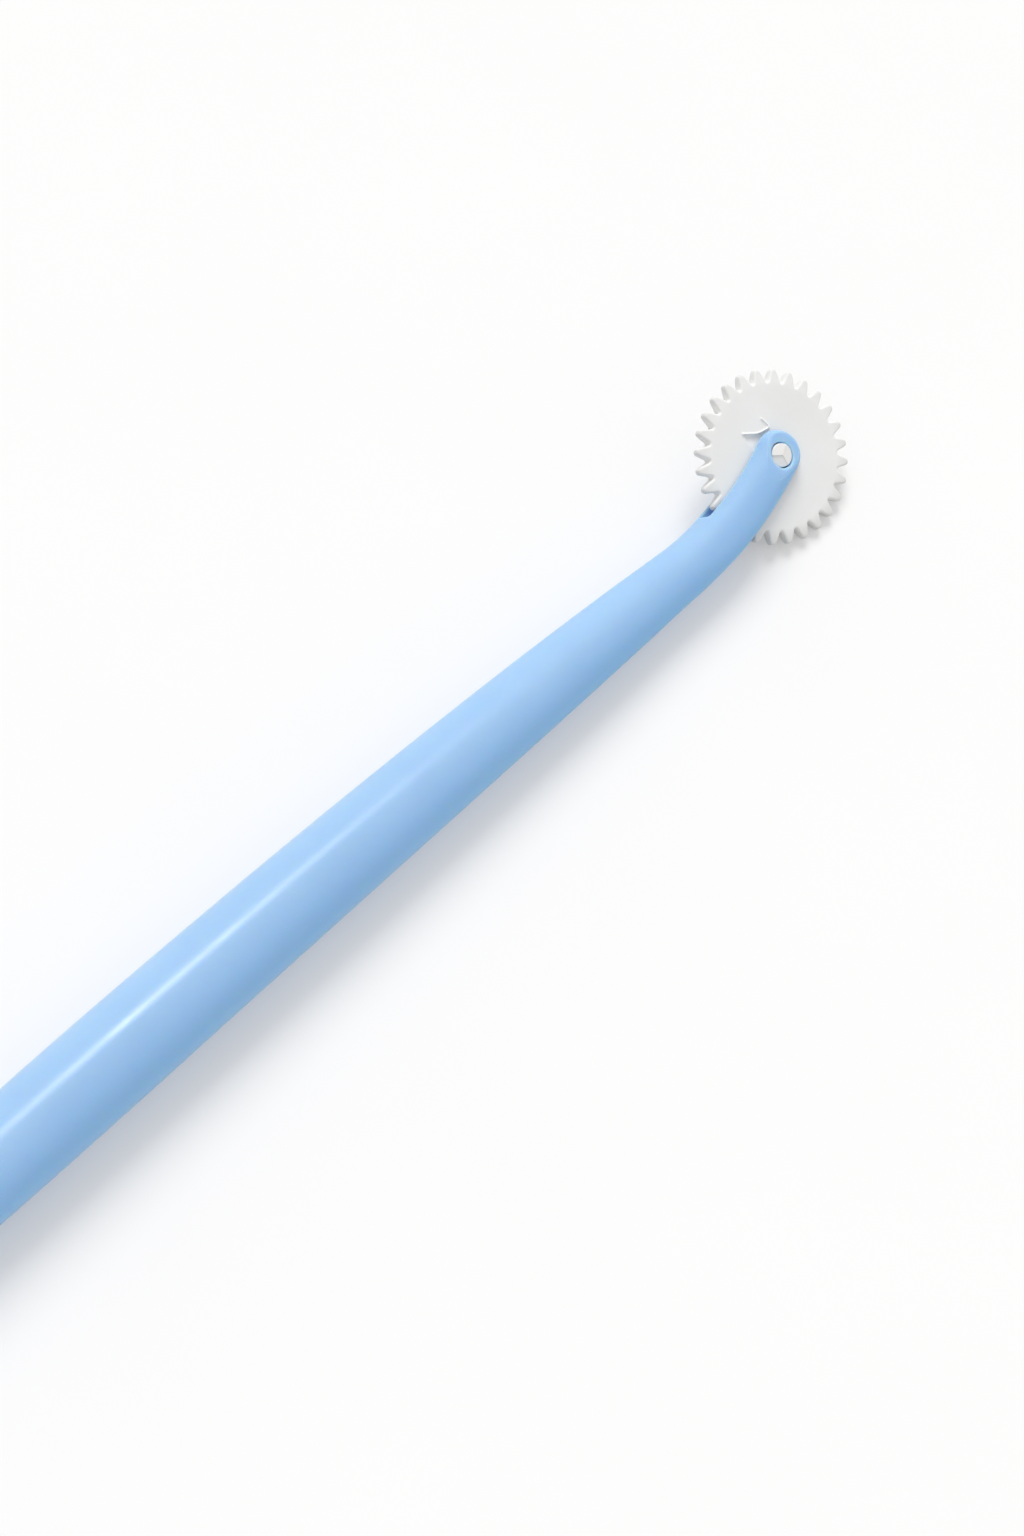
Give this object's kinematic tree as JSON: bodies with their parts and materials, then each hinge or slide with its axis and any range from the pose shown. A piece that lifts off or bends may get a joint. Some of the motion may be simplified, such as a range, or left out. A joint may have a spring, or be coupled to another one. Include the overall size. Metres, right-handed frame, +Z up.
{
  "type": "fondant wheel tool",
  "caption": "Slim round-handled pastry tool with a bent fork that carries a thin toothed wheel on a pin, rolled over fondant to press in a stitched line.",
  "frame": {"origin": "on the table, under the middle of the tool's box as it lies at rest", "axes": "+Z up from the table, +X along the grip towards the wheel, +Y to the side that the fork's tip bends to"},
  "size_m": [0.1616, 0.0184, 0.0106],
  "materials": {
    "handle": "light blue moulded plastic, semi-gloss",
    "wheel": "off-white moulded plastic, satin",
    "pin": "off-white moulded plastic, satin"
  },
  "bodies": {
    "handle": {"handle": "handle"},
    "wheel": {"toothed_wheel": "wheel", "axle_pin": "pin"}
  },
  "joints": [
    {"name": "wheel_spin", "type": "hinge", "parent": "handle", "child": "wheel", "pos_m": [0.0708, 0, 0.00513], "axis": [0.0128, -0.4524, 0.8917], "continuous": true}
  ]
}
